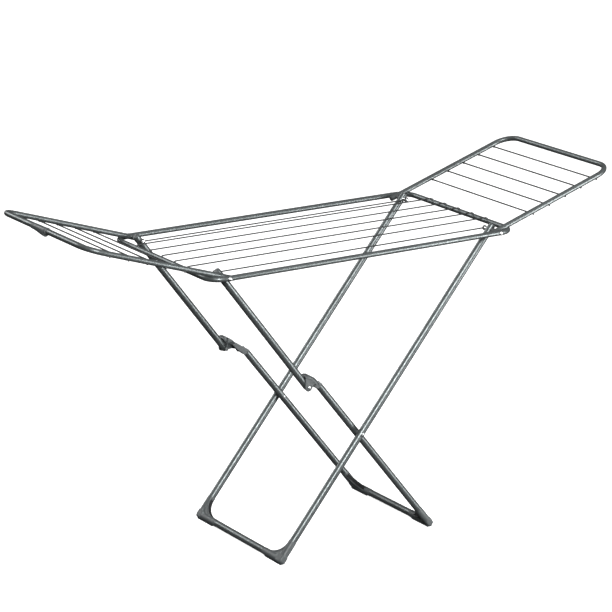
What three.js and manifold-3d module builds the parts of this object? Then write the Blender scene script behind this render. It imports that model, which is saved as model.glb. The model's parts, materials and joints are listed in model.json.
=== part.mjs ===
// A folding winged clothes drying rack, in millimetres, +Z up.
// X runs along the rack, Y across it. The origin is on the floor under the middle of the rack.

import * as THREE from 'three';
import { mergeVertices } from 'three/addons/utils/BufferGeometryUtils.js';
import Module from 'manifold-3d';

const wasm = await Module();
wasm.setup();

// ---------------------------------------------------------------- driving dimensions

const gap = 0.3;                    // clearance between pieces that touch

const frameTube = 8;                // radius of the rails and wings
const legTube = 10;                 // radius of the legs
const wire = 2;                     // radius of the drying wires

const railHeight = 902;             // centre line of the main frame
const frameHalfLength = 519;
const frameHalfWidth = 275;
const frameCorner = 46;             // bend radius of the main frame

const pivotX = 466;                 // the four frame pivots
const pinRadius = 3;
const pinHole = pinRadius + gap;

const railWireY = [-140, -70, 0, 70, 140];
const railWireRise = 10.6;          // the wires lie over the end tubes
const sideWireY = 201;

const armY = 256;                   // wing arms, just inside the main frame
const wingReach = 451;              // pivot to the outer tube
const wingCorner = 55;
const armTail = 18;                 // the arm runs on past its pivot
const wingRest = THREE.MathUtils.degToRad(17.9);
const wingWireReach = [138, 200, 262, 323, 384];
const wingWireDrop = 4;

const footHeight = 13;              // centre line of the foot bars
const outerY = 225.5;               // outer leg and upper legs
const outerFootX = -261;
const innerY = 198;                 // inner leg
const innerFootX = 282;
const legCorner = 38;
const legTail = 14;                 // the leg runs on past its pivot
const crossHeight = 349;            // pivot where the legs cross
const upperLength = 475;            // frame pivot to knee
const upperSlope = THREE.MathUtils.degToRad(52.3);
const innerTop = 208;               // end of the inner leg, measured from the cross pivot

const plugDepth = 8;                // how far an end plug goes into its tube
const dome = 3.5;                   // how far its cap stands out

const capRadius = 13.5;             // moulded foot caps
const capUp = 58;                   // along the leg
const capIn = 86;                   // along the foot bar

const boreRound = 16;               // sides of turned pieces
const tubeRound = 12;               // sides of tubes

// ---------------------------------------------------------------- points and directions

const at = (x, y, z) => new THREE.Vector3(x, y, z);
const yAxis = at(0, 1, 0);

const rightPivot = at(pivotX, 0, railHeight);
const leftPivot = at(-pivotX, 0, railHeight);
const outerFoot = at(outerFootX, 0, footHeight);
const innerFoot = at(innerFootX, 0, footHeight);

const outerDown = outerFoot.clone().sub(rightPivot).normalize();
const cross = rightPivot.clone().addScaledVector(outerDown, (crossHeight - railHeight) / outerDown.z);
const innerDown = innerFoot.clone().sub(cross).normalize();
const innerEnd = cross.clone().addScaledVector(innerDown, -innerTop);

const upperDown = at(Math.cos(upperSlope), 0, -Math.sin(upperSlope));
const knee = leftPivot.clone().addScaledVector(upperDown, upperLength);
const kneeSide = at(Math.sin(upperSlope), 0, Math.cos(upperSlope));

const acrossAt = (point, y) => at(point.x, y, point.z);
const along = (point, direction, distance) => point.clone().addScaledVector(direction, distance);

// ---------------------------------------------------------------- shapes

// A centre line of straight runs and round bends. It has stations only at its ends and in its bends.
class BentPath extends THREE.Curve {
  constructor(corners, bend, { closed = false, bendSteps = 6 } = {}) {
    super();
    this.stations = [];
    this.tangents = [];
    const count = corners.length;
    corners.forEach((corner, i) => {
      const before = corners[(i + count - 1) % count];
      const after = corners[(i + 1) % count];
      const into = corner.clone().sub(before).normalize();
      const out = after.clone().sub(corner).normalize();
      if (!closed && i === 0) {
        this.addStation(corner, out);
      } else if (!closed && i === count - 1) {
        this.addStation(corner, into);
      } else {
        this.addBend(corner, into, out, bend, bendSteps);
      }
    });
    if (closed) {
      this.addStation(this.stations[0], this.tangents[0]);
    }
    this.steps = this.stations.length - 1;
  }

  addStation(point, tangent) {
    this.stations.push(point.clone());
    this.tangents.push(tangent.clone());
  }

  addBend(corner, into, out, radius, bendSteps) {
    const angle = into.angleTo(out);
    const reach = radius * Math.tan(angle / 2);
    const start = along(corner, into, -reach);
    const inward = out.clone().addScaledVector(into, -out.dot(into)).normalize();
    for (let k = 0; k <= bendSteps; k += 1) {
      const turn = (angle * k) / bendSteps;
      const point = along(along(start, into, radius * Math.sin(turn)), inward, radius * (1 - Math.cos(turn)));
      const tangent = into.clone().multiplyScalar(Math.cos(turn)).addScaledVector(inward, Math.sin(turn));
      this.addStation(point, tangent);
    }
  }

  getPointAt(u, target = new THREE.Vector3()) {
    return target.copy(this.stations[Math.round(u * this.steps)]);
  }

  getTangentAt(u, target = new THREE.Vector3()) {
    return target.copy(this.tangents[Math.round(u * this.steps)]);
  }
}

function rodAlong(path, radius, sides = tubeRound) {
  const section = new THREE.Shape();
  section.absarc(0, 0, radius, 0, 2 * Math.PI);
  return new THREE.ExtrudeGeometry(section, {
    steps: path.steps,
    curveSegments: sides / 2,
    bevelEnabled: false,
    extrudePath: path,
  });
}

function straightRod(start, end, radius, sides = tubeRound) {
  return rodAlong(new BentPath([start, end], 0), radius, sides);
}

// A turned piece with its axis along Y. The profile is a list of [radius, y], from low y to high y.
function turned(profile, sides = boreRound) {
  return new THREE.LatheGeometry(profile.map(([r, y]) => new THREE.Vector2(r, y)), sides);
}

function ring(inner, outer, low, high) {
  return turned([[inner, low], [outer, low], [outer, high], [inner, high], [inner, low]]);
}

// A flat piece with its outline in the plane of U and V, as thick as low to high along U x V.
function plate(outline, low, high, u, v, bevel = 0) {
  const shape = new THREE.Shape(outline.map(([a, b]) => new THREE.Vector2(a, b)));
  const geometry = new THREE.ExtrudeGeometry(shape, {
    depth: high - low - 2 * bevel,
    bevelEnabled: bevel > 0,
    bevelThickness: bevel,
    bevelSize: bevel,
    bevelOffset: -bevel,
    bevelSegments: 1,
    curveSegments: 6,
  });
  geometry.translate(0, 0, low + bevel);
  return geometry.applyMatrix4(new THREE.Matrix4().makeBasis(u, v, u.clone().cross(v)));
}

function box(low, high) {
  const size = high.clone().sub(low);
  const centre = low.clone().add(high).multiplyScalar(0.5);
  return new THREE.BoxGeometry(size.x, size.y, size.z).translate(centre.x, centre.y, centre.z);
}

function arc(cx, cy, radius, from, to, steps) {
  return Array.from({ length: steps + 1 }, (_, k) => {
    const angle = THREE.MathUtils.degToRad(from + ((to - from) * k) / steps);
    return [cx + radius * Math.cos(angle), cy + radius * Math.sin(angle)];
  });
}

// The same piece for the other side of the rack.
function mirroredY(geometry) {
  const copy = geometry.clone().scale(1, -1, 1);
  const index = copy.index.array;
  for (let i = 0; i < index.length; i += 3) {
    [index[i], index[i + 1]] = [index[i + 1], index[i]];
  }
  return copy;
}

// ---------------------------------------------------------------- joining and cutting

function toSolid(geometry) {
  const bare = geometry.clone();
  bare.deleteAttribute('normal');
  bare.deleteAttribute('uv');
  const merged = mergeVertices(bare, 1e-4);
  return new wasm.Manifold(new wasm.Mesh({
    numProp: 3,
    vertProperties: new Float32Array(merged.attributes.position.array),
    triVerts: new Uint32Array(merged.index.array),
  }));
}

function toGeometry(solid) {
  const mesh = solid.getMesh();
  const geometry = new THREE.BufferGeometry();
  geometry.setAttribute('position', new THREE.BufferAttribute(new Float32Array(mesh.vertProperties), 3));
  geometry.setIndex(new THREE.BufferAttribute(new Uint32Array(mesh.triVerts), 1));
  geometry.computeVertexNormals();
  return geometry;
}

function join(...geometries) {
  return toGeometry(geometries.map(toSolid).reduce((sum, piece) => sum.add(piece)));
}

function cut(geometry, ...tools) {
  return toGeometry(tools.map(toSolid).reduce((rest, tool) => rest.subtract(tool), toSolid(geometry)));
}

// ---------------------------------------------------------------- materials and meshes

const rack = new THREE.Group();

const coated = () => new THREE.MeshStandardMaterial({ color: 0x70787a, roughness: 0.42, metalness: 0.35 });
const wireCoated = () => new THREE.MeshStandardMaterial({ color: 0x5a6062, roughness: 0.45, metalness: 0.35 });
const moulded = () => new THREE.MeshStandardMaterial({ color: 0x505659, roughness: 0.6, metalness: 0 });
const steel = () => new THREE.MeshStandardMaterial({ color: 0xc8cccc, roughness: 0.3, metalness: 0.9 });

function addPiece(name, geometry, material, parent = rack) {
  const mesh = new THREE.Mesh(geometry, material);
  mesh.name = name;
  parent.add(mesh);
  return mesh;
}

// Adds a piece made for the front and its mirror image for the back.
function addPair(name, frontGeometry, material, parent = rack) {
  addPiece(`${name}_front`, frontGeometry, material(), parent);
  addPiece(`${name}_back`, mirroredY(frontGeometry), material(), parent);
}

// ---------------------------------------------------------------- main frame

const frameCorners = [
  at(frameHalfLength, -frameHalfWidth, railHeight),
  at(frameHalfLength, frameHalfWidth, railHeight),
  at(-frameHalfLength, frameHalfWidth, railHeight),
  at(-frameHalfLength, -frameHalfWidth, railHeight),
];
const framePath = new BentPath(frameCorners, frameCorner, { closed: true });

const frameLoop = (radius) => new THREE.TubeGeometry(framePath, framePath.steps, radius, tubeRound, true);

const wireHoleRadius = wire + 0.7;
const wireHoleDepth = 5;            // below the centre line of the tube

function mainFrameTube() {
  const holes = [];
  for (const x of [-pivotX, pivotX]) {
    holes.push(straightRod(at(x, -300, railHeight), at(x, 300, railHeight), pinHole, boreRound));
  }
  for (const y of railWireY) {
    for (const x of [-frameHalfLength, frameHalfLength]) {
      const bottom = at(x, y, railHeight - wireHoleDepth);
      holes.push(straightRod(bottom, at(x, y, railHeight + 12), wireHoleRadius, 8));
    }
  }
  return cut(frameLoop(frameTube), ...holes);
}

// A drying wire that lies over both end tubes and drops into them.
function railWire(y) {
  const top = railHeight + railWireRise;
  const tip = railHeight - wireHoleDepth + 1;
  const path = new BentPath([
    at(-frameHalfLength, y, tip),
    at(-frameHalfLength, y, top),
    at(frameHalfLength, y, top),
    at(frameHalfLength, y, tip),
  ], 4.5, { bendSteps: 4 });
  return rodAlong(path, wire, 8);
}

const eyeletRadius = 5.8;           // centre line of the eye at each end of a side wire

function sideWire() {
  const reach = pivotX - eyeletRadius;
  const rod = straightRod(at(-reach, -sideWireY, railHeight), at(reach, -sideWireY, railHeight), wire, 8);
  const eyes = [-pivotX, pivotX].map((x) => new THREE.TorusGeometry(eyeletRadius, wire, 8, boreRound)
    .rotateX(Math.PI / 2)
    .translate(x, -sideWireY, railHeight));
  return join(rod, ...eyes);
}

// The rivet that carries the main frame, a wing arm, a leg and the eye of a side wire.
function pivotPin(x) {
  const headFace = -(frameHalfWidth + frameTube + gap);
  const collarLow = -(outerY - legTube - gap);
  const collarHigh = -(sideWireY + wire + 0.4);
  const eyeHigh = -(sideWireY - wire - 0.4);
  return turned([
    [0, headFace - 3], [3.2, headFace - 2.8], [5.6, headFace - 1.6], [6.5, headFace],
    [pinRadius, headFace], [pinRadius, collarLow], [5, collarLow], [5, collarHigh],
    [pinRadius, collarHigh], [pinRadius, eyeHigh], [5.2, eyeHigh], [4.6, eyeHigh + 2], [0, eyeHigh + 2],
  ]).translate(x, 0, railHeight);
}

function washer(x) {
  const low = -(frameHalfWidth - frameTube - gap);
  const high = -(armY + frameTube + gap);
  return ring(pinHole + 0.1, 7, low, high).translate(x, 0, railHeight);
}

addPiece('main_frame_tube', mainFrameTube(), coated());
railWireY.forEach((y, i) => addPiece(`rail_wire_${i + 1}`, railWire(y), wireCoated()));
addPair('side_wire', sideWire(), wireCoated);
for (const [end, x] of [['left', -pivotX], ['right', pivotX]]) {
  addPair(`pivot_pin_${end}`, pivotPin(x), steel);
  addPair(`pivot_washer_${end}`, washer(x), moulded);
}

// ---------------------------------------------------------------- wings

// A wing is made flat: its pivot line is the Y axis, +X points outward, and it is turned into place.
function wingPlace() {
  return new THREE.Matrix4().makeTranslation(pivotX, 0, railHeight)
    .multiply(new THREE.Matrix4().makeRotationY(-wingRest));
}

function wingTube() {
  const path = new BentPath([
    at(-armTail, -armY, 0),
    at(wingReach, -armY, 0),
    at(wingReach, armY, 0),
    at(-armTail, armY, 0),
  ], wingCorner);
  const holes = [straightRod(at(0, -300, 0), at(0, 300, 0), pinHole, boreRound)];
  for (const side of [-1, 1]) {
    const tail = at(-armTail - 1, side * armY, 0);
    holes.push(straightRod(tail, along(tail, at(1, 0, 0), plugDepth + 2), 5.3));
    for (const s of wingWireReach) {
      const mouth = at(s, side * (armY - frameTube - 4), -wingWireDrop);
      holes.push(straightRod(mouth, at(s, side * (armY - 3), -wingWireDrop), wire + gap, 8));
    }
  }
  // The arms rest in the corners of the main frame, where they are dented to fit.
  const dent = frameLoop(frameTube + gap).applyMatrix4(wingPlace().invert());
  return cut(rodAlong(path, frameTube), ...holes, dent);
}

function wingWire(s) {
  const end = armY - 3.6;
  return straightRod(at(s, -end, -wingWireDrop), at(s, end, -wingWireDrop), wire, 8);
}

// A plug with its cap outside the tube: made along Y, then turned along `out`.
function endPlug(place, out, tubeRadius) {
  const spigot = tubeRadius - 3;
  const plug = turned([
    [0, -plugDepth + 1], [spigot, -plugDepth + 1], [spigot, gap], [tubeRadius, gap],
    [tubeRadius, 1.5], [tubeRadius * 0.7, dome - 0.4], [0, dome],
  ], tubeRound);
  plug.applyQuaternion(new THREE.Quaternion().setFromUnitVectors(yAxis, out));
  return plug.translate(place.x, place.y, place.z);
}

const sleeveStart = -60;            // the sleeve on the outer tube, along Y
const sleeveEnd = 22;

function wingSleeve() {
  const start = at(wingReach, sleeveStart, 0);
  const end = at(wingReach, sleeveEnd, 0);
  const body = straightRod(start, end, frameTube + 1.8, boreRound);
  const keel = plate([
    [sleeveStart + 14, -4], [sleeveStart + 14, -9.6], [sleeveEnd - 12, -18.5], [sleeveEnd, -19], [sleeveEnd, -4],
  ], -6, 6, yAxis, at(0, 0, 1), 1.5).translate(wingReach, 0, 0);
  const bore = straightRod(at(wingReach, -80, 0), at(wingReach, 80, 0), frameTube + gap, boreRound);
  return cut(join(body, keel), bore);
}

function addWing(name, turn, { sleeve = false } = {}) {
  const turned180 = new THREE.Group();
  turned180.rotation.z = turn;
  const wing = new THREE.Group();
  wing.position.set(pivotX, 0, railHeight);
  wing.rotation.y = -wingRest;
  turned180.add(wing);
  rack.add(turned180);
  addPiece(`${name}_tube`, wingTube(), coated(), wing);
  wingWireReach.forEach((s, i) => addPiece(`${name}_wire_${i + 1}`, wingWire(s), wireCoated(), wing));
  addPair(`${name}_plug`, endPlug(at(-armTail, -armY, 0), at(-1, 0, 0), frameTube), moulded, wing);
  if (sleeve) addPiece(`${name}_sleeve`, wingSleeve(), moulded(), wing);
}

addWing('wing_right', 0);
addWing('wing_left', Math.PI, { sleeve: true });

// ---------------------------------------------------------------- legs

const uPath = (top, foot, y) => new BentPath([
  acrossAt(top, -y), acrossAt(foot, -y), acrossAt(foot, y), acrossAt(top, y),
], legCorner);

const yHole = (point, radius) => straightRod(acrossAt(point, -260), acrossAt(point, 260), radius, boreRound);

const plugBore = (end, out, y) => straightRod(
  along(acrossAt(end, y), out, 1),
  along(acrossAt(end, y), out, -plugDepth - 1),
  legTube - 2.7,
);

function legSpacer(point) {
  const low = -(armY - frameTube - gap);
  const high = -(outerY + legTube + gap);
  return ring(pinHole + 0.1, 7, low, high).translate(point.x, 0, point.z);
}

// A moulded cap over the bend at the bottom of a leg, with a flat sole.
function footCap(foot, down, y) {
  const up = down.clone().negate();
  const outline = [
    ...arc(-capRadius + 9, -capRadius + 9, 9, 180, 270, 3),
    [capUp, -capRadius], [capUp, capRadius],
    ...arc(42, 42, 42 - capRadius, 270, 180, 6),
    [capRadius, capIn], [-capRadius, capIn],
  ];
  const shell = plate(outline, -capRadius, capRadius, up, yAxis, 3)
    .translate(foot.x, -y, foot.z);
  const sole = box(at(foot.x - 10, -y - capRadius + 5, 0), at(foot.x + 10, -y + capIn - 3, foot.z));
  const floor = box(at(foot.x - 200, -400, -60), at(foot.x + 200, 400, 0));
  const top = along(foot, up, 300);
  const bore = rodAlong(uPath(top, foot, y), legTube + 0.35);
  return cut(join(shell, sole), floor, bore);
}

const outerTop = along(rightPivot, outerDown, -legTail);
const outerUp = outerDown.clone().negate();

function outerLegTube() {
  return cut(
    rodAlong(uPath(outerTop, outerFoot, outerY), legTube),
    yHole(rightPivot, pinHole),
    yHole(cross, pinHole),
    plugBore(outerTop, outerUp, -outerY),
    plugBore(outerTop, outerUp, outerY),
  );
}

addPiece('outer_leg_tube', outerLegTube(), coated());
addPair('outer_leg_foot', footCap(outerFoot, outerDown, outerY), moulded);
addPair('outer_leg_plug', endPlug(acrossAt(outerTop, -outerY), outerUp, legTube), moulded);
addPair('outer_leg_spacer', legSpacer(rightPivot), moulded);

const innerUp = innerDown.clone().negate();
const kneeSpigot = 24;              // how far the knee connector goes into the inner leg

function innerLegTube() {
  const socket = (y) => straightRod(
    along(acrossAt(innerEnd, y), innerUp, 1),
    along(acrossAt(innerEnd, y), innerUp, -kneeSpigot - 1),
    legTube - 2.7,
  );
  return cut(
    rodAlong(uPath(innerEnd, innerFoot, innerY), legTube),
    yHole(cross, pinHole),
    socket(-innerY),
    socket(innerY),
  );
}

// The rivet where the legs cross: its bright head is outside the outer leg.
function crossPin() {
  const outside = -(outerY + legTube + gap);
  const inside = -(innerY - legTube - gap);
  return turned([
    [0, outside - 2.8], [3.4, outside - 2.6], [6, outside - 1.5], [7, outside],
    [pinRadius, outside], [pinRadius, inside], [5.4, inside], [4.8, inside + 2], [0, inside + 2],
  ]).translate(cross.x, 0, cross.z);
}

function crossSpacer() {
  return ring(pinHole + 0.1, 9, -(outerY - legTube - gap), -(innerY + legTube + gap))
    .translate(cross.x, 0, cross.z);
}

// The knee connector, drawn around the knee pivot. The first number runs down the upper leg, the
// second away from it. Two cheeks hold the end of the upper leg and a web between them stops it.
const upperClear = legTube + 0.6;
const fan = [
  [-33, upperClear], [-31, 17], [-26, 22], [-18, 26], [-8, 30], [4, 34], [16, 36], [24, 36],
  [24, 27], [19, 20], [14, 12],
];
const cheek = [
  ...fan, ...arc(0, 0, 13.5, 20, -90, 5), [-8, -6], [-20, 3],
];
const web = [[-33, upperClear], [-31, 17], [-26, 22], [-18, 26], [-18, upperClear]];
const shoulder = [
  [-10, 16], [-8, 30], [4, 37], [20, 43], [36, 49.5], [47.4, 50.5], [47.4, 25.5], [24, 25.5], [12, 16],
];

function kneeConnector() {
  const outerCheek = outerY + legTube + 0.5;
  const innerCheek = outerY - legTube - 0.5;
  const level = (outline, low, high, bevel) => plate(outline, low, high, upperDown, kneeSide, bevel);
  const parts = [
    level(cheek, outerCheek, outerCheek + 4, 1),
    level(cheek, innerCheek - 6, innerCheek, 1),
    level(web, innerCheek - 3, outerCheek + 3, 0),
    level(shoulder, innerY - 12, innerY + 14, 2),
  ].map((piece) => piece.translate(knee.x, 0, knee.z));
  const front = acrossAt(innerEnd, -innerY);
  const spigot = straightRod(along(front, innerUp, 8), along(front, innerUp, -kneeSpigot), legTube - 3);
  const slot = plate([[38, 26], [49, 26], [49, 41], [38, 41]], innerY + 4, innerY + 20, upperDown, kneeSide)
    .translate(knee.x, 0, knee.z);
  return cut(join(...parts, spigot), slot, yHole(knee, pinHole));
}

// The knee rivet: a head outside the outer cheek, with its shank in the cheek.
function kneeRivet() {
  const face = -(outerY + legTube + 4.5 + gap);
  return turned([
    [0, face - 2.6], [3, face - 2.4], [5, face - 1.4], [5.8, face], [pinRadius, face],
    [pinRadius, face + 4], [0, face + 4],
  ]).translate(knee.x, 0, knee.z);
}

addPiece('inner_leg_tube', innerLegTube(), coated());
addPair('inner_leg_foot', footCap(innerFoot, innerDown, innerY), moulded);
addPair('knee_connector', kneeConnector(), moulded);
addPair('knee_rivet', kneeRivet(), steel);
addPair('cross_pin', crossPin(), steel);
addPair('cross_spacer', crossSpacer(), moulded);

const upperTop = along(leftPivot, upperDown, -legTail);
const upperUp = upperDown.clone().negate();

function upperLegTube() {
  const start = acrossAt(upperTop, -outerY);
  const end = acrossAt(knee, -outerY);
  const tip = new THREE.SphereGeometry(legTube, tubeRound, 8).translate(end.x, end.y, end.z);
  return cut(
    join(straightRod(start, end, legTube), tip),
    yHole(leftPivot, pinHole),
    yHole(knee, pinHole),
    plugBore(upperTop, upperUp, -outerY),
  );
}

addPair('upper_leg_tube', upperLegTube(), coated);
addPair('upper_leg_plug', endPlug(acrossAt(upperTop, -outerY), upperUp, legTube), moulded);
addPair('upper_leg_spacer', legSpacer(leftPivot), moulded);

export default rack;
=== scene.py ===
"""The looks of a folding winged clothes drying rack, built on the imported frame. Metres, +Z up."""
import json
import math

import bpy
from mathutils import Matrix, Vector


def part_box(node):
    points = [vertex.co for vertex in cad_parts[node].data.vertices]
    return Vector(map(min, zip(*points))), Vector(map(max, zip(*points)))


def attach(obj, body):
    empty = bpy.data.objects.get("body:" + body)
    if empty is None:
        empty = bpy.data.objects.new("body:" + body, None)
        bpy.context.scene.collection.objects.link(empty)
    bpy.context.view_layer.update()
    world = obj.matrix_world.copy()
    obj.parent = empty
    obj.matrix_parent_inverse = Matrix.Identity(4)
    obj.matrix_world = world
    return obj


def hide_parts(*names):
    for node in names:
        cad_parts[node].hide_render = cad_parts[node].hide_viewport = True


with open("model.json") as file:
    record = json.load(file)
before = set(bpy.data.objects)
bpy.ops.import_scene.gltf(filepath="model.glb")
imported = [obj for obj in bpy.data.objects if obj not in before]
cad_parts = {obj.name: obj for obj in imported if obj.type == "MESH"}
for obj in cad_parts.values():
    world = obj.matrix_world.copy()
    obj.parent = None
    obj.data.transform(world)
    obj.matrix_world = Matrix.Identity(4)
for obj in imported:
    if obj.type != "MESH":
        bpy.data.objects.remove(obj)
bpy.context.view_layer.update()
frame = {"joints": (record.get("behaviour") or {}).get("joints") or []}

# ------------------------------------------------------------------ camera

CAMERA_TARGET = Vector((0.001, 0.049, 0.672))
CAMERA_HEADING = math.radians(33.16)      # from +Y towards +X
CAMERA_PITCH = math.radians(16.09)
CAMERA_ROLL = math.radians(0.2)
CAMERA_DISTANCE = 8.524
CAMERA_LENS = 169.4


def make_camera():
    data = bpy.data.cameras.new("camera")
    data.lens = CAMERA_LENS
    data.sensor_width = 36
    data.clip_end = 100
    camera = bpy.data.objects.new("camera", data)
    bpy.context.scene.collection.objects.link(camera)
    forward = Vector((
        math.sin(CAMERA_HEADING) * math.cos(CAMERA_PITCH),
        math.cos(CAMERA_HEADING) * math.cos(CAMERA_PITCH),
        -math.sin(CAMERA_PITCH),
    ))
    camera.location = CAMERA_TARGET - forward * CAMERA_DISTANCE
    look = forward.to_track_quat("-Z", "Y").to_matrix().to_4x4()
    camera.rotation_euler = (look @ Matrix.Rotation(CAMERA_ROLL, 4, "Z")).to_euler()
    bpy.context.scene.camera = camera


make_camera()

# ------------------------------------------------------------------ sizes

MM = 0.001
joints = {joint["name"]: joint for joint in frame["joints"]}
X, Y, Z = Vector((1, 0, 0)), Vector((0, 1, 0)), Vector((0, 0, 1))

RIGHT_PIVOT = Vector(joints["outer_leg_fold"]["pos_m"])
LEFT_PIVOT = Vector(joints["upper_legs_fold"]["pos_m"])
CROSS = Vector(joints["inner_leg_fold"]["pos_m"])
RAIL_HEIGHT = RIGHT_PIVOT.z

FRAME_TUBE = 8 * MM                       # radii
LEG_TUBE = 10 * MM
LEG_SKIN = LEG_TUBE + 0.6 * MM            # the leg tubes as they are drawn, a little thicker than the solids
WIRE = 2 * MM
WING_WIRE = WIRE * 1.1
PIN = 3 * MM
BORE = 3.4 * MM
CLEARANCE = 0.3 * MM                      # between a pin's head or collar and what it holds

frame_low, frame_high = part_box("main_frame_tube")
FRAME_HALF_LENGTH = frame_high.x - FRAME_TUBE
FRAME_HALF_WIDTH = frame_high.y - FRAME_TUBE
FRAME_CORNER = 46 * MM

WIRE_RISE = 10.6 * MM                     # the rail wires lie over the end tubes
EYE = 5.8 * MM                            # radius of the side wires' eyes, to the middle of the wire
ARM_Y = 256 * MM
WING_REACH = 451 * MM
WING_CORNER = 55 * MM
ARM_TAIL = 18 * MM
WING_REST = math.radians(17.9)
WING_WIRE_REACH = [138 * MM, 200 * MM, 262 * MM, 323 * MM, 384 * MM]
WING_WIRE_DROP = 6 * MM

OUTER_Y = 225.5 * MM
INNER_Y = 198 * MM
FOOT_RISE = 13 * MM
INNER_FOOT = Vector((282 * MM, 0, FOOT_RISE))
LEG_CORNER = 38 * MM
LEG_TAIL = 14 * MM
INNER_TOP = 208 * MM

OUTER_DOWN = (CROSS - RIGHT_PIVOT).normalized()
OUTER_FOOT = RIGHT_PIVOT + OUTER_DOWN * ((FOOT_RISE - RAIL_HEIGHT) / OUTER_DOWN.z)
INNER_DOWN = (INNER_FOOT - CROSS).normalized()
INNER_END = CROSS - INNER_DOWN * INNER_TOP

rivet_low, rivet_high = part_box("knee_rivet_front")
KNEE = Vector(((rivet_low.x + rivet_high.x) / 2, 0, (rivet_low.z + rivet_high.z) / 2))
UPPER_DOWN = (KNEE - LEFT_PIVOT).normalized()
KNEE_SIDE = Vector((-UPPER_DOWN.z, 0, UPPER_DOWN.x))

OUTER_TOP = RIGHT_PIVOT - OUTER_DOWN * LEG_TAIL
UPPER_TOP = LEFT_PIVOT - UPPER_DOWN * LEG_TAIL

# washers and spacers on the front side: where they start and end along Y
WASHER_SPAN = (-266.7 * MM, -264.3 * MM)
LEG_SPACER_SPAN = (-247.7 * MM, -235.8 * MM)
CROSS_SPACER_SPAN = (-215.2 * MM, -208.3 * MM)


def across(point, y):
    """The point moved to this place across the rack."""
    return Vector((point.x, y, point.z))


def in_mm(points):
    return [(a * MM, b * MM) for a, b in points]


# ------------------------------------------------------------------ mesh building

def add_mesh(name, vertices, faces, sharp_angle=40):
    """A smooth-shaded object; edges sharper than the angle stay sharp."""
    mesh = bpy.data.meshes.new(name)
    mesh.from_pydata([tuple(v) for v in vertices], [], faces)
    mesh.validate()
    mesh.update()
    mesh.shade_smooth()
    mesh.set_sharp_from_angle(angle=math.radians(sharp_angle))
    piece = bpy.data.objects.new(name, mesh)
    bpy.context.scene.collection.objects.link(piece)
    return piece


def bent_line(corners, bend, steps=12, closed=False):
    """Stations (point, tangent) along straight runs joined by round bends."""
    stations = []
    count = len(corners)
    for i, corner in enumerate(corners):
        into = (corner - corners[i - 1]).normalized()
        out = (corners[(i + 1) % count] - corner).normalized()
        if not closed and i in (0, count - 1):
            stations.append((corner, out if i == 0 else into))
            continue
        angle = into.angle(out)
        start = corner - into * bend * math.tan(angle / 2)
        inward = (out - into * out.dot(into)).normalized()
        for k in range(steps + 1):
            turn = angle * k / steps
            point = start + into * bend * math.sin(turn) + inward * bend * (1 - math.cos(turn))
            stations.append((point, into * math.cos(turn) + inward * math.sin(turn)))
    return stations


def loft(rings, closed=False):
    """Vertices and faces of a skin over rings of points. An open one gets flat ends."""
    sides = len(rings[0])
    vertices = [p for ring in rings for p in ring]
    faces = []
    for i in range(len(rings) if closed else len(rings) - 1):
        a, b = i * sides, ((i + 1) % len(rings)) * sides
        for k in range(sides):
            n = (k + 1) % sides
            faces.append((a + k, a + n, b + n, b + k))
    if not closed:
        faces.append(tuple(reversed(range(sides))))
        faces.append(tuple(range(len(vertices) - sides, len(vertices))))
    return vertices, faces


def swept(stations, normal, radius, sides=32, closed=False):
    """A round rod along stations that lie in the plane with this normal."""
    rings = []
    for point, tangent in stations:
        side = normal.cross(tangent).normalized()
        rings.append([
            point + (side * math.cos(t) + normal * math.sin(t)) * radius
            for t in (-2 * math.pi * k / sides for k in range(sides))
        ])
    return loft(rings, closed)


def turned(profile, centre, axis, sides=36):
    """A turned piece. The profile is (radius, place along the axis), from low to high."""
    side = axis.orthogonal().normalized()
    other = axis.cross(side).normalized()
    rings = []
    for radius, place in profile:
        rings.append([
            centre + axis * place + (side * math.cos(t) + other * math.sin(t)) * max(radius, 1e-5)
            for t in (2 * math.pi * k / sides for k in range(sides))
        ])
    return loft(rings)


def turned_ring(inner, outer, span, centre, axis):
    """A turned ring with eased outer edges. The span is (low, high) along the axis."""
    low, high = span
    ease = 0.5 * MM
    sides = 36
    profile = [
        (inner, low), (outer - ease, low), (outer, low + ease),
        (outer, high - ease), (outer - ease, high), (inner, high),
    ]
    side = axis.orthogonal().normalized()
    other = axis.cross(side).normalized()
    rings = []
    for k in range(sides):
        t = 2 * math.pi * k / sides
        out = side * math.cos(t) + other * math.sin(t)
        rings.append([centre + axis * place + out * radius for radius, place in reversed(profile)])
    return loft(rings, closed=True)


class Axes:
    """A local frame: an origin and three directions."""

    def __init__(self, origin, u, v):
        self.origin, self.u, self.v = origin, u.normalized(), v.normalized()
        self.w = self.u.cross(self.v)

    def at(self, a, b, c):
        return self.origin + self.u * a + self.v * b + self.w * c


def plate(axes, outline, low, high):
    """A flat plate with its outline in u and v, from low to high along w."""
    rings = [[axes.at(a, b, c) for a, b in outline] for c in (low, high)]
    return loft(rings)


def block(axes, lows, highs):
    """A box between two opposite corners."""
    (a0, b0, c0), (a1, b1, c1) = lows, highs
    return plate(axes, [(a0, b0), (a1, b0), (a1, b1), (a0, b1)], c0, c1)


def arc(centre, radius, start, end, steps):
    """Points of an arc in the plane, between two angles in degrees."""
    return [
        (centre[0] + radius * math.cos(math.radians(start + (end - start) * k / steps)),
         centre[1] + radius * math.sin(math.radians(start + (end - start) * k / steps)))
        for k in range(steps + 1)
    ]


def offset_band(line, inset, width):
    """A closed outline that follows a line, as a rib of this width beside it."""
    def shifted(distance):
        out = []
        for i, p in enumerate(line):
            q, r = line[max(i - 1, 0)], line[min(i + 1, len(line) - 1)]
            dx, dy = r[0] - q[0], r[1] - q[1]
            size = math.hypot(dx, dy)
            out.append((p[0] + dy / size * distance, p[1] - dx / size * distance))
        return out
    return shifted(inset) + list(reversed(shifted(inset + width)))


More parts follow.
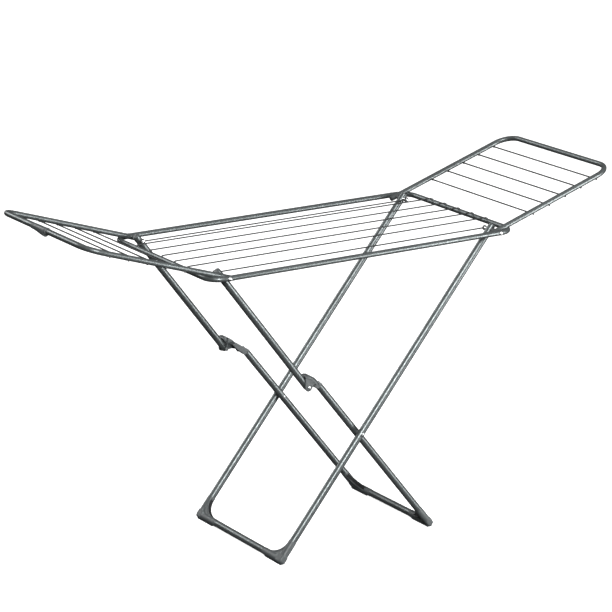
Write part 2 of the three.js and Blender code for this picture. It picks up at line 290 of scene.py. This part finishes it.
def merged(shells):
    """Several shells as the vertices and faces of one mesh."""
    vertices, faces = [], []
    for part_vertices, part_faces in shells:
        base = len(vertices)
        vertices += part_vertices
        faces += [tuple(base + i for i in face) for face in part_faces]
    return vertices, faces


def apply_modifiers(piece):
    """Gives the piece the mesh that its modifiers make."""
    graph = bpy.context.evaluated_depsgraph_get()
    mesh = bpy.data.meshes.new_from_object(piece.evaluated_get(graph))
    piece.modifiers.clear()
    old, piece.data = piece.data, mesh
    bpy.data.meshes.remove(old)
    mesh.name = piece.name


def moulding(name, shells, voxel, passes):
    """One moulded body from overlapping shells: fused by a voxel remesh, with softened edges."""
    piece = add_mesh(name, *merged(shells))
    remesh = piece.modifiers.new("fuse", "REMESH")
    remesh.mode = "VOXEL"
    remesh.voxel_size = voxel
    remesh.use_smooth_shade = True
    soften = piece.modifiers.new("soften", "SMOOTH")
    soften.factor = 0.5
    soften.iterations = passes
    apply_modifiers(piece)
    piece.data.shade_smooth()
    return piece


def mirrored(piece, name):
    """The same piece on the other side of the rack."""
    mesh = piece.data.copy()
    mesh.name = name
    mesh.transform(Matrix.Scale(-1, 4, Y))
    mesh.flip_normals()
    copy = bpy.data.objects.new(name, mesh)
    bpy.context.scene.collection.objects.link(copy)
    return copy


# ------------------------------------------------------------------ materials

class Nodes:
    """A node-based material on a Principled shader, fed by object coordinates."""

    def __init__(self, name):
        self.material = bpy.data.materials.new(name)
        self.material.use_nodes = True
        self.tree = self.material.node_tree
        self.shader = self.tree.nodes["Principled BSDF"]
        self.place = self.tree.nodes.new("ShaderNodeTexCoord").outputs["Object"]

    def link(self, output, target):
        self.tree.links.new(output, target)

    def noise(self, scale, detail):
        node = self.tree.nodes.new("ShaderNodeTexNoise")
        node.inputs["Scale"].default_value = scale
        node.inputs["Detail"].default_value = detail
        self.link(self.place, node.inputs["Vector"])
        return node.outputs["Fac"]

    def between(self, value, low, high, to_low=0.0, to_high=1.0):
        """Maps a value from low...high to to_low...to_high, smoothly."""
        node = self.tree.nodes.new("ShaderNodeMapRange")
        node.interpolation_type = "SMOOTHSTEP"
        for key, number in zip(("From Min", "From Max", "To Min", "To Max"), (low, high, to_low, to_high)):
            node.inputs[key].default_value = number
        self.link(value, node.inputs["Value"])
        return node.outputs["Result"]

    def mix(self, factor, first, second):
        """Blends two colours, each one a tuple or another node's output."""
        node = self.tree.nodes.new("ShaderNodeMix")
        node.data_type = "RGBA"
        self.link(factor, node.inputs["Factor"])
        colour_a, colour_b, colour_result = 6, 7, 2      # the node's sockets for colours
        for key, colour in ((colour_a, first), (colour_b, second)):
            if isinstance(colour, tuple):
                node.inputs[key].default_value = (*colour, 1)
            else:
                self.link(colour, node.inputs[key])
        return node.outputs[colour_result]

    def bump(self, height, distance, strength=1.0, under=None):
        node = self.tree.nodes.new("ShaderNodeBump")
        node.inputs["Strength"].default_value = strength
        node.inputs["Distance"].default_value = distance
        self.link(height, node.inputs["Height"])
        if under is not None:
            self.link(under, node.inputs["Normal"])
        return node.outputs["Normal"]

    def edges(self, low, high):
        """1 on convex edges, 0 on flat faces."""
        geometry = self.tree.nodes.new("ShaderNodeNewGeometry")
        return self.between(geometry.outputs["Pointiness"], low, high)


def coated_metal(name, colour, worn, metallic, roughness):
    """Powder coat over steel: faint orange peel, mottled gloss, and rubbed patches."""
    m = Nodes(name)
    darker = tuple(c * 0.86 for c in colour)
    cloud = m.between(m.noise(9, 4), 0.35, 0.65)
    tone = m.mix(cloud, darker, colour)
    rubbed = m.between(m.noise(55, 6), 0.62, 0.78)
    m.link(m.mix(rubbed, tone, worn), m.shader.inputs["Base Color"])
    m.link(m.between(m.noise(120, 3), 0.3, 0.7, roughness - 0.06, roughness + 0.08),
           m.shader.inputs["Roughness"])
    peel = m.bump(m.noise(900, 2), 0.00006)
    m.link(m.bump(m.noise(60, 2), 0.0001, 0.4, peel), m.shader.inputs["Normal"])
    m.shader.inputs["Metallic"].default_value = metallic
    return m.material


def moulded_plastic(name, colour, worn, roughness=0.55):
    """Fine-grained moulded plastic, paler where its edges are rubbed."""
    m = Nodes(name)
    darker = tuple(c * 0.82 for c in colour)
    tone = m.mix(m.between(m.noise(30, 4), 0.35, 0.65), darker, colour)
    m.link(m.mix(m.edges(0.52, 0.62), tone, worn), m.shader.inputs["Base Color"])
    m.link(m.between(m.noise(200, 2), 0.3, 0.7, roughness - 0.08, roughness + 0.1),
           m.shader.inputs["Roughness"])
    grain = m.bump(m.noise(1800, 2), 0.00005)
    m.link(m.bump(m.noise(140, 3), 0.00008, 0.5, grain), m.shader.inputs["Normal"])
    return m.material


def plated_steel(name, colour, dull, roughness=0.28):
    """Zinc-plated steel with fine turning marks and dull spots."""
    m = Nodes(name)
    m.shader.inputs["Metallic"].default_value = 1.0
    m.link(m.mix(m.between(m.noise(260, 4), 0.45, 0.7), colour, dull), m.shader.inputs["Base Color"])
    m.link(m.between(m.noise(500, 3), 0.3, 0.7, roughness - 0.08, roughness + 0.14),
           m.shader.inputs["Roughness"])
    m.link(m.bump(m.noise(1500, 2), 0.00003), m.shader.inputs["Normal"])
    return m.material


TUBE_PAINT = coated_metal("tube_paint", (0.118, 0.132, 0.133), (0.15, 0.165, 0.165), 0.62, 0.36)
WIRE_PAINT = coated_metal("wire_paint", (0.020, 0.022, 0.022), (0.045, 0.048, 0.048), 0.0, 0.55)
PLASTIC = moulded_plastic("fitting_plastic", (0.070, 0.079, 0.081), (0.12, 0.132, 0.134), 0.45)
DARK_PLASTIC = moulded_plastic("dark_plastic", (0.030, 0.034, 0.036), (0.07, 0.075, 0.078))
# near-black matte: painted shade, for the dark inside the knee slot and along the foot caps' hollow edge
SHADE_BLACK = moulded_plastic("shaded_recess", (0.004, 0.004, 0.005), (0.008, 0.008, 0.009), 0.9)
ZINC = plated_steel("plated_steel", (0.78, 0.80, 0.80), (0.55, 0.57, 0.57))
DULL_ZINC = plated_steel("dull_steel", (0.36, 0.38, 0.38), (0.24, 0.25, 0.25), 0.42)


def finish_piece(piece, material, body, *nodes):
    """Paints a piece, lets it ride on a body and stand for CAD nodes."""
    piece.data.materials.clear()
    piece.data.materials.append(material)
    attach(piece, body)
    if nodes:
        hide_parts(*nodes)


def finish_pair(front, material, body, *nodes):
    """Finishes a front piece and its mirror image; both names and nodes end in front or back."""
    back = mirrored(front, front.name.replace("front", "back"))
    finish_piece(front, material, body, *nodes)
    finish_piece(back, material, body, *[node.replace("front", "back") for node in nodes])


# ------------------------------------------------------------------ main frame

def make_main_frame():
    """One closed loop of tube with round corners."""
    corners = [
        Vector((sx * FRAME_HALF_LENGTH, sy * FRAME_HALF_WIDTH, RAIL_HEIGHT))
        for sx, sy in ((1, -1), (1, 1), (-1, 1), (-1, -1))
    ]
    loop = bent_line(corners, FRAME_CORNER, 16, closed=True)
    piece = add_mesh("frame_loop", *swept(loop, Z, FRAME_TUBE, 40, closed=True))
    finish_piece(piece, TUBE_PAINT, "frame", "main_frame_tube")


RAIL_WIRE_BEND = 4.5 * MM
COLLAR_SEAT = FRAME_TUBE - 0.9 * MM       # the collars sit a little way into the end tubes
COLLAR = in_mm([(0, 0), (4.2, 0), (4.2, 1.2), (3.5, 2.2), (2.4, 2.8), (0, 2.8)])


def make_rail_wire(index):
    """A long wire that turns down into each end tube through a small collar."""
    low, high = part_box(f"rail_wire_{index}")
    y = (low.y + high.y) / 2
    reach = high.x - WIRE
    top = RAIL_HEIGHT + WIRE_RISE
    foot = low.z
    line = bent_line([
        Vector((-reach, y, foot)), Vector((-reach, y, top)),
        Vector((reach, y, top)), Vector((reach, y, foot)),
    ], RAIL_WIRE_BEND, 8)
    piece = add_mesh(f"rail_wire_{index}_line", *swept(line, Y, WIRE, 16))
    finish_piece(piece, WIRE_PAINT, "frame", f"rail_wire_{index}")
    for side, name in ((-1, "left"), (1, "right")):
        collar = turned(COLLAR, Vector((side * reach, y, RAIL_HEIGHT + COLLAR_SEAT)), Z, 24)
        finish_piece(add_mesh(f"rail_wire_{index}_collar_{name}", *collar), DARK_PLASTIC, "frame")


def make_side_wire():
    """A straight wire with a round eye on each pivot pin."""
    low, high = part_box("side_wire_front")
    y = (low.y + high.y) / 2
    reach = RIGHT_PIVOT.x - EYE
    ends = [Vector((-reach, y, RAIL_HEIGHT)), Vector((reach, y, RAIL_HEIGHT))]
    shells = [swept(bent_line(ends, 0), Y, WIRE, 16)]
    for pivot in (LEFT_PIVOT, RIGHT_PIVOT):
        circle = []
        for k in range(32):
            t = 2 * math.pi * k / 32
            out = X * math.cos(t) + Z * math.sin(t)
            circle.append((across(pivot, y) + out * EYE, Z * math.cos(t) - X * math.sin(t)))
        shells.append(swept(circle, Y, WIRE, 14, closed=True))
    front = add_mesh("side_wire_front_line", *merged(shells))
    finish_pair(front, WIRE_PAINT, "frame", "side_wire_front")


def make_pivot(name, pivot):
    """The rivet at one end of the main frame: a domed head, washer, collar and peened inner end."""
    face = -(FRAME_HALF_WIDTH + FRAME_TUBE + CLEARANCE)
    collar_low = -(OUTER_Y - LEG_TUBE - CLEARANCE)
    collar_high = collar_low + 11.5 * MM
    collar = 5.0 * MM
    peened = -198.4 * MM
    pin = turned([
        (0, face - 3.0 * MM), (2.0 * MM, face - 2.9 * MM), (3.9 * MM, face - 2.5 * MM),
        (5.4 * MM, face - 1.7 * MM), (6.3 * MM, face - 0.7 * MM), (6.5 * MM, face),
        (PIN, face), (PIN, collar_low), (collar, collar_low), (collar, collar_high),
        (PIN, collar_high), (PIN, peened), (5.2 * MM, peened),
        (4.9 * MM, peened + 1.2 * MM), (3.6 * MM, peened + 1.8 * MM), (0, peened + 2.0 * MM),
    ], across(pivot, 0), Y)
    finish_pair(add_mesh(f"pivot_pin_{name}_front_rivet", *pin), ZINC, "frame", f"pivot_pin_{name}_front")
    washer = turned_ring(BORE, 7 * MM, WASHER_SPAN, across(pivot, 0), Y)
    finish_pair(add_mesh(f"pivot_washer_{name}_front_disc", *washer), DARK_PLASTIC, "frame",
                f"pivot_washer_{name}_front")


make_main_frame()
for wire_index in range(1, 6):
    make_rail_wire(wire_index)
make_side_wire()
make_pivot("left", LEFT_PIVOT)
make_pivot("right", RIGHT_PIVOT)

# ------------------------------------------------------------------ wings


def wing_axes(side):
    """u runs out along the wing, v along its pivot line, w up through it."""
    out = Vector((side * math.cos(WING_REST), 0, math.sin(WING_REST)))
    pivot = RIGHT_PIVOT if side > 0 else LEFT_PIVOT
    return Axes(pivot, out, Vector((0, side, 0)))


def make_wing(name, side):
    """A wing: its U of tube, its wires, its end plugs and, on the left one, its sleeve."""
    axes = wing_axes(side)
    body = f"wing_{name}"
    u_line = bent_line([
        axes.at(-ARM_TAIL, -ARM_Y, 0), axes.at(WING_REACH, -ARM_Y, 0),
        axes.at(WING_REACH, ARM_Y, 0), axes.at(-ARM_TAIL, ARM_Y, 0),
    ], WING_CORNER, 18)
    tube = add_mesh(f"{body}_loop", *swept(u_line, axes.w, FRAME_TUBE, 40))
    finish_piece(tube, TUBE_PAINT, body, f"{body}_tube")
    for i, reach in enumerate(WING_WIRE_REACH, 1):
        make_wing_wire(axes, body, i, reach)
    if side < 0:
        make_sleeve(axes, body)
    for v, end_name in ((-1, "front"), (1, "back")):
        plug = end_plug(axes.at(-ARM_TAIL, v * ARM_Y, 0), -axes.u, FRAME_TUBE)
        piece = add_mesh(f"{body}_plug_{end_name}_cap", *plug)
        finish_piece(piece, DARK_PLASTIC, body, f"{body}_plug_{end_name}")


INNER_GROMMET = in_mm([(0, 0), (3.4, 0), (3.3, 2.2), (2.5, 3.4), (0, 3.6)])
OUTER_GROMMET = in_mm([(0, 0), (3.2, 0), (3.2, 1.2), (2.2, 2.2), (0, 2.5)])


def make_wing_wire(axes, body, index, reach):
    """A wire across the wing, with a grommet on each side of both arms."""
    end = ARM_Y + FRAME_TUBE * 0.9
    line = bent_line([axes.at(reach, -end, -WING_WIRE_DROP), axes.at(reach, end, -WING_WIRE_DROP)], 0)
    shells = [swept(line, axes.w, WING_WIRE, 16)]
    for v in (-1, 1):
        inner = axes.at(reach, v * (ARM_Y - FRAME_TUBE * 0.8), -WING_WIRE_DROP)
        shells.append(turned(INNER_GROMMET, inner, axes.v * -v, 20))
        outer = axes.at(reach, v * (ARM_Y + FRAME_TUBE * 0.78), -WING_WIRE_DROP)
        shells.append(turned(OUTER_GROMMET, outer, axes.v * v, 20))
    wire = add_mesh(f"{body}_wire_{index}_line", *merged(shells))
    finish_piece(wire, WIRE_PAINT, body, f"{body}_wire_{index}")


def end_plug(place, out, radius):
    """A domed plug in the end of a tube."""
    return turned([
        (0, -7 * MM), (radius - 3 * MM, -7 * MM), (radius - 3 * MM, 0.2 * MM), (radius, 0.2 * MM),
        (radius + 0.1 * MM, 1.4 * MM), (radius * 0.93, 2.3 * MM), (radius * 0.75, 3.0 * MM),
        (radius * 0.45, 3.4 * MM), (0, 3.5 * MM),
    ], place, out, 32)


SLEEVE_START = -60 * MM
SLEEVE_END = 22 * MM
SLEEVE_SHARPNESS = 2.2                    # how quickly the keel stands out from the round tube
SLEEVE_PROFILE = [                        # place along the sleeve, wall and keel depth in mm
    (SLEEVE_START, 0.5, 0.5),
    (SLEEVE_START + 2 * MM, 1.3, 1.3),
    (SLEEVE_START + 20 * MM, 1.7, 1.9),
    (SLEEVE_START + 38 * MM, 1.9, 3.8),
    (SLEEVE_START + 56 * MM, 2.0, 6.4),
    (SLEEVE_END - 12 * MM, 2.1, 7.8),
    (SLEEVE_END - 4 * MM, 2.1, 8.2),
    (SLEEVE_END - 1.2 * MM, 1.9, 7.8),
    (SLEEVE_END, 1.0, 6.6),
]


def make_sleeve(axes, body):
    """The moulded sleeve on the outer tube: thin above, its keel deepest at the abrupt end."""
    rings = []
    for v, wall, keel in SLEEVE_PROFILE:
        ring = []
        for k in range(40):
            t = -2 * math.pi * k / 40
            below = max(0.0, -math.sin(t)) ** SLEEVE_SHARPNESS
            radius = FRAME_TUBE + (wall + (keel - wall) * below) * MM
            ring.append(axes.at(WING_REACH + radius * math.cos(t), v, radius * math.sin(t)))
        rings.append(ring)
    piece = add_mesh(f"{body}_sleeve_shell", *loft(rings), sharp_angle=55)
    finish_piece(piece, PLASTIC, body, f"{body}_sleeve")
    # the lip at the sleeve's abrupt end is in the dark plastic: partly the lip's own colour, partly painted
    # shade for the shadow at that end
    lip = turned([
        (FRAME_TUBE - 1 * MM, 0), (FRAME_TUBE + 3.4 * MM, 0), (FRAME_TUBE + 3.0 * MM, 5 * MM),
        (FRAME_TUBE + 0.6 * MM, 7 * MM), (FRAME_TUBE - 1 * MM, 7 * MM),
    ], axes.at(WING_REACH, SLEEVE_END, 0), axes.v, 32)
    finish_piece(add_mesh(f"{body}_sleeve_lip", *lip), DARK_PLASTIC, body)


make_wing("right", 1)
make_wing("left", -1)

# ------------------------------------------------------------------ legs


def make_u_leg(name, top, foot, y, body, node):
    """A leg frame: down one side, along the floor and up the other side."""
    line = bent_line([across(top, -y), across(foot, -y), across(foot, y), across(top, y)], LEG_CORNER, 16)
    normal = (foot - top).normalized().cross(Y)
    finish_piece(add_mesh(name, *swept(line, normal, LEG_SKIN, 44)), TUBE_PAINT, body, node)


def squarish(half):
    """A section between a circle and a square, as a superellipse."""
    power, sides = 2.3, 32
    out = []
    for k in range(sides):
        t = 2 * math.pi * k / sides
        c, s = math.cos(t), math.sin(t)
        p = half * math.copysign(abs(c) ** (2 / power), c)
        q = half * math.copysign(abs(s) ** (2 / power), s)
        out.append((p, q))
    return out


def bar(axes, direction, start, end, profile):
    """A rounded square bar along u or v. The profile is (place from 0 to 1, half width)."""
    rings = []
    for place, half in profile:
        d = start + (end - start) * place
        section = squarish(half)
        if direction == "u":
            rings.append([axes.at(d, p, q) for p, q in section])
        else:
            rings.append([axes.at(p, d, q) for p, q in reversed(section)])
    return loft(rings)


CAP = 11.3 * MM                           # half width of the cap
CAP_UP = 63 * MM                          # how far it reaches up the leg
CAP_IN = 92 * MM                          # and along the floor
CAP_EASE = 9 * MM                         # radius of its outer corner
WEB_UP = 60 * MM                          # the web in the angle, up the leg and along the floor
WEB_IN = 72 * MM
SOLE = 8.4 * MM                           # half width of the sole
RIB_PITCH = 6.4 * MM
RIB = 3.6 * MM


def foot_fillet():
    """The hollow inner edge of the cap's web, from the leg round to the floor bar."""
    inside = CAP * 0.8
    rise, run = WEB_UP - inside, WEB_IN - inside
    return [
        (inside + rise * (1 - math.sin(t)), inside + run * (1 - math.cos(t)))
        for t in (math.radians(90 * k / 20) for k in range(21))
    ]


def foot_corner(axes):
    """Plates that together round off the outer corner of the cap."""
    back, drop, shells = 14 * MM, 5 * MM, []
    for k in range(7):
        t = math.radians(15 * k)
        half, depth = CAP - drop * (1 - math.cos(t)), CAP - drop * (1 - math.sin(t))
        turn = arc((CAP_EASE - half, CAP_EASE - half), CAP_EASE, 180, 270, 8)
        shells.append(plate(axes, [*turn, (back, -half), (back, back), (-half, back)], -depth, depth))
    return shells


def foot_sole(foot, y):
    """The flat sole and the ribs across it, which stand on the floor."""
    world = Axes(across(foot, -y), X, Y)
    low, high = -7 * MM, CAP_IN - 12 * MM
    shells = [block(world, (-SOLE, low, -FOOT_RISE + 2.2 * MM), (SOLE, high, -3 * MM))]
    half = SOLE - 0.2 * MM
    for k in range(int((high - low) / RIB_PITCH)):
        start = low + 1.2 * MM + k * RIB_PITCH
        shells.append(block(world, (-half, start, -FOOT_RISE), (half, start + RIB, -8 * MM)))
    return shells


def make_foot(name, foot, down, y, body, node):
    """A moulded cap over the bend at the foot of a leg, with a ribbed flat sole."""
    axes = Axes(across(foot, -y), -down, Y)
    corner = arc((CAP_EASE - CAP, CAP_EASE - CAP), CAP_EASE, 180, 270, 8)
    fillet = foot_fillet()
    panel = [*corner, (WEB_UP, -CAP * 0.8), *fillet, (-CAP * 0.8, WEB_IN)]
    rim = [*fillet, *[(u - 3.4 * MM, v - 3.4 * MM) for u, v in reversed(fillet)]]
    collar = [(0, CAP), (0.7, CAP), (0.99, CAP * 0.98), (1, CAP * 0.95)]
    shells = [
        bar(axes, "u", 4 * MM, CAP_UP, collar),
        bar(axes, "v", 4 * MM, CAP_IN, collar),
        plate(axes, panel, -6.4 * MM, 6.4 * MM),
        plate(axes, rim, -7.6 * MM, 7.6 * MM),
        *foot_corner(axes),
        *foot_sole(foot, y),
    ]
    piece = moulding(f"{name}_front_cap", shells, 0.85 * MM, 4)
    for vertex in piece.data.vertices:        # nothing of the sole reaches below the floor
        vertex.co.z = max(vertex.co.z, 0.0)
    finish_pair(piece, PLASTIC, body, f"{node}_front")
    # a black strip along the hollow inner edge of the web: painted shade, for the dark recess there
    edge = [(u + 1.4 * MM, v + 1.4 * MM) for u, v in fillet[1:-1]]
    recess_shade = [*edge, *[(u - 2.6 * MM, v - 2.6 * MM) for u, v in reversed(edge)]]
    finish_pair(add_mesh(f"{name}_front_seam", *plate(axes, recess_shade, -5 * MM, 5 * MM)), SHADE_BLACK, body)


def make_spacer(name, pivot, body, node, outer, span):
    """A plastic spacer on a pivot pin, between two tubes."""
    spacer = turned_ring(BORE, outer, span, across(pivot, 0), Y)
    finish_pair(add_mesh(f"{name}_front_bush", *spacer), DARK_PLASTIC, body, f"{node}_front")


LEG_SPACER = 7 * MM
CROSS_SPACER = 9 * MM

make_u_leg("outer_leg_loop", OUTER_TOP, OUTER_FOOT, OUTER_Y, "outer_leg", "outer_leg_tube")
make_foot("outer_foot", OUTER_FOOT, OUTER_DOWN, OUTER_Y, "outer_leg", "outer_leg_foot")
make_spacer("outer_leg", RIGHT_PIVOT, "outer_leg", "outer_leg_spacer", LEG_SPACER, LEG_SPACER_SPAN)
outer_plug = end_plug(across(OUTER_TOP, -OUTER_Y), -OUTER_DOWN, LEG_TUBE)
finish_pair(add_mesh("outer_leg_front_top_plug", *outer_plug), PLASTIC, "outer_leg", "outer_leg_plug_front")

make_u_leg("inner_leg_loop", INNER_END, INNER_FOOT, INNER_Y, "inner_leg", "inner_leg_tube")
make_foot("inner_foot", INNER_FOOT, INNER_DOWN, INNER_Y, "inner_leg", "inner_leg_foot")
make_spacer("cross", CROSS, "inner_leg", "cross_spacer", CROSS_SPACER, CROSS_SPACER_SPAN)


def make_cross_pin():
    """The rivet where the legs cross, with a domed head and a peened inner end."""
    face = -(OUTER_Y + LEG_TUBE + CLEARANCE)
    inside = -(INNER_Y - LEG_TUBE - CLEARANCE)
    pin = turned([
        (0, face - 2.8 * MM), (2.4 * MM, face - 2.7 * MM), (4.6 * MM, face - 2.2 * MM),
        (6.2 * MM, face - 1.2 * MM), (7 * MM, face), (PIN, face), (PIN, inside),
        (5.4 * MM, inside), (5.2 * MM, inside + 1.2 * MM), (3.8 * MM, inside + 1.9 * MM),
        (0, inside + 2 * MM),
    ], across(CROSS, 0), Y)
    finish_pair(add_mesh("cross_front_rivet", *pin), DULL_ZINC, "inner_leg", "cross_pin_front")


# Outlines of the knee connector, in mm from the knee pivot: along the upper leg, and away from it.
FAN_TOP = [
    (-33.5, 10), (-34, 15), (-31.4, 20.3), (-24.8, 25.4),
    (-14.5, 29.5), (-4.8, 31.5), (6, 32), (17, 32),
]
FAN = [
    *FAN_TOP, (17.5, 29), (9.5, 24), (4, 15), (8.8, 8),
    *arc((0, -1), 11.5, 40, -110, 10), (-12, -6), (-24, 4),
]
TONGUE = [*FAN_TOP[3:], (22, 22), (10, 12), *arc((0, 0), 6.2, 40, -200, 10)]
BRIDGE = [(-33, 10.6), *FAN_TOP[1:5], (-18, 10.6)]
SHOULDER = [
    (-10, 16), (-6, 29), (6, 33.5), (20, 38), (30, 42),
    (38, 45.5), (48, 47.6), (48, 26.8), (30, 22), (17, 18.5),
]
SHOULDER_TOP = [(-10, 16), (-6, 29), (6, 33.5), (18, 37), (18, 19), (14, 18.5)]
SHOULDER_EDGE = [(6, 31), (6, 33.5), (20, 38), (30, 42), (38, 45.5), (48, 47.6), (48, 37), (30, 36)]
SOCKET = [(32, 22.6), (32, 45), (48, 47), (48, 26.8)]

CHEEK_INNER = OUTER_Y - LEG_TUBE - 0.5 * MM
CHEEK_OUTER = OUTER_Y + LEG_TUBE + 0.5 * MM
RIB_FACE = CHEEK_OUTER + 3 * MM           # the ribs stand on the outer cheek
SHOULDER_FACE = INNER_Y + 6 * MM


def knee_body(axes):
    """The connector's cheeks beside the upper leg, and the shoulder that holds the inner leg."""
    bedded = SHOULDER_FACE - 1 * MM
    return [
        plate(axes, in_mm(FAN), CHEEK_OUTER, CHEEK_OUTER + 3.4 * MM),
        plate(axes, in_mm(TONGUE), CHEEK_INNER - 6 * MM, CHEEK_INNER),
        plate(axes, in_mm(BRIDGE), CHEEK_INNER - 2 * MM, CHEEK_OUTER + 2 * MM),
        plate(axes, in_mm(SHOULDER), INNER_Y - 11 * MM, SHOULDER_FACE),
        plate(axes, in_mm(SHOULDER_TOP), bedded, INNER_Y + 13.4 * MM),
        plate(axes, in_mm(SHOULDER_EDGE), bedded, INNER_Y + 10.6 * MM),
        plate(axes, in_mm(SOCKET), bedded, INNER_Y + 10.2 * MM),
    ]


def knee_ribs(axes):
    """Two ribs along the fan's edge, five that spread from the pivot, and the boss round it."""
    shells = [
        plate(axes, in_mm(offset_band(FAN_TOP, 0, 3)), RIB_FACE, RIB_FACE + 2.1 * MM),
        plate(axes, in_mm(offset_band(FAN_TOP[2:], 7.5, 2.2)), RIB_FACE, RIB_FACE + 1.7 * MM),
    ]
    for angle, reach in ((60, 24), (75, 24), (90, 24), (105, 24), (120, 23)):
        out = Vector((math.cos(math.radians(angle)), math.sin(math.radians(angle))))
        side = Vector((-out.y, out.x)) * 0.8
        rib = [out * 9 - side, out * reach - side, out * reach + side, out * 9 + side]
        shells.append(plate(axes, in_mm(tuple(p) for p in rib), RIB_FACE, RIB_FACE + 1.6 * MM))
    boss = in_mm([(0, 0), (9, 0), (8.6, 3.2), (0, 3.3)])
    shells.append(turned(boss, axes.at(0, 0, RIB_FACE - 2 * MM), axes.w, 32))
    return shells


def make_knee():
    """The knee connector with its ribbed fan, a black block painted as the shade in its slot, and the
    rivet's head on it.
    """
    axes = Axes(across(KNEE, 0), UPPER_DOWN, KNEE_SIDE)      # w points to the front
    # a black block inside the connector where the slot is: painted shade for the dark inside the slot
    slot_shade_low = (22.5 * MM, 20 * MM, SHOULDER_FACE - 1 * MM)
    slot_shade_high = (31.6 * MM, 35 * MM, INNER_Y + 10 * MM)
    finish_pair(add_mesh("knee_front_slot", *block(axes, slot_shade_low, slot_shade_high)), SHADE_BLACK, "inner_leg")
    piece = moulding("knee_front_connector", [*knee_body(axes), *knee_ribs(axes)], 0.8 * MM, 3)
    finish_pair(piece, PLASTIC, "inner_leg", "knee_connector_front")
    head = -(OUTER_Y + LEG_TUBE + 4.8 * MM)
    rivet = turned([
        (0, head - 2.6 * MM), (2.0 * MM, head - 2.5 * MM), (3.6 * MM, head - 1.9 * MM),
        (4.6 * MM, head - 0.9 * MM), (5.0 * MM, head), (PIN, head), (PIN, head + 4 * MM), (0, head + 4 * MM),
    ], across(KNEE, 0), Y)
    finish_pair(add_mesh("knee_front_rivet_head", *rivet), ZINC, "inner_leg", "knee_rivet_front")


def make_upper_leg():
    """A straight tube with a round tip at the knee."""
    start, end = across(UPPER_TOP, -OUTER_Y), across(KNEE, -OUTER_Y)
    rings = []
    for place in (0, (end - start).length):
        rings.append((start + UPPER_DOWN * place, LEG_SKIN))
    for k in range(1, 9):
        t = math.radians(90 * k / 8)
        rings.append((end + UPPER_DOWN * LEG_TUBE * math.sin(t), LEG_SKIN * max(math.cos(t), 0.02)))
    circles = []
    for point, radius in rings:
        circles.append([
            point + (Y * math.cos(t) + KNEE_SIDE * math.sin(t)) * radius
            for t in (2 * math.pi * k / 44 for k in range(44))
        ])
    bar_piece = add_mesh("upper_leg_front_bar", *loft(circles))
    finish_pair(bar_piece, TUBE_PAINT, "upper_legs", "upper_leg_tube_front")
    plug = end_plug(start, -UPPER_DOWN, LEG_TUBE)
    finish_pair(add_mesh("upper_leg_front_top_plug", *plug), PLASTIC, "upper_legs", "upper_leg_plug_front")


make_cross_pin()
make_knee()
make_upper_leg()
make_spacer("upper_leg", LEFT_PIVOT, "upper_legs", "upper_leg_spacer", LEG_SPACER, LEG_SPACER_SPAN)

# ------------------------------------------------------------------ floor, light and world


def make_floor():
    """A plain pale floor that casts nothing back on the rack."""
    half = 30
    corners = [(-half, -half, 0), (half, -half, 0), (half, half, 0), (-half, half, 0)]
    piece = add_mesh("floor", corners, [(0, 1, 2, 3)])
    m = Nodes("floor_paper")
    paper = m.mix(m.noise(0.7, 2), (0.90, 0.90, 0.90), (0.93, 0.93, 0.93))
    m.link(paper, m.shader.inputs["Base Color"])
    m.link(paper, m.shader.inputs["Emission Color"])
    m.shader.inputs["Emission Strength"].default_value = 0.8
    m.shader.inputs["Roughness"].default_value = 0.9
    m.shader.inputs["Specular IOR Level"].default_value = 0.0
    piece.data.materials.append(m.material)
    piece.visible_diffuse = False             # keeps the undersides of the tubes dark
    piece.visible_glossy = False
    piece.visible_shadow = False


LIGHT_TARGET = Vector((0, 0, 0.6))


def make_softbox(name, place, size, power):
    """A rectangular softbox that faces the rack. The size is (width, height)."""
    data = bpy.data.lights.new(name, "AREA")
    data.shape = "RECTANGLE"
    data.size, data.size_y = size
    data.energy = power
    light = bpy.data.objects.new(name, data)
    light.location = place
    light.rotation_euler = (LIGHT_TARGET - Vector(place)).to_track_quat("-Z", "Y").to_euler()
    bpy.context.scene.collection.objects.link(light)


def make_world():
    """Light from above, little from below."""
    world = bpy.data.worlds.new("studio")
    world.use_nodes = True
    tree = world.node_tree
    background = tree.nodes["Background"]
    split = tree.nodes.new("ShaderNodeSeparateXYZ")
    tree.links.new(tree.nodes.new("ShaderNodeTexCoord").outputs["Generated"], split.inputs["Vector"])
    ramp = tree.nodes.new("ShaderNodeMapRange")
    ramp.inputs["From Min"].default_value = 0.05
    ramp.inputs["From Max"].default_value = 0.9
    ramp.inputs["To Min"].default_value = 0.04
    ramp.inputs["To Max"].default_value = 0.5
    tree.links.new(split.outputs["Z"], ramp.inputs["Value"])
    tree.links.new(ramp.outputs["Result"], background.inputs["Strength"])
    background.inputs["Color"].default_value = (1, 1, 1, 1)
    bpy.context.scene.world = world


make_floor()
make_world()
make_softbox("key", (-2.9, -6.0, 3.9), (1.8, 1.8), 640)
make_softbox("side", (4.6, -5.4, 0.7), (2.2, 4.0), 500)
make_softbox("rear", (-2.6, 5.6, 3.8), (2.5, 2.5), 140)
bpy.context.scene.view_settings.view_transform = "Standard"
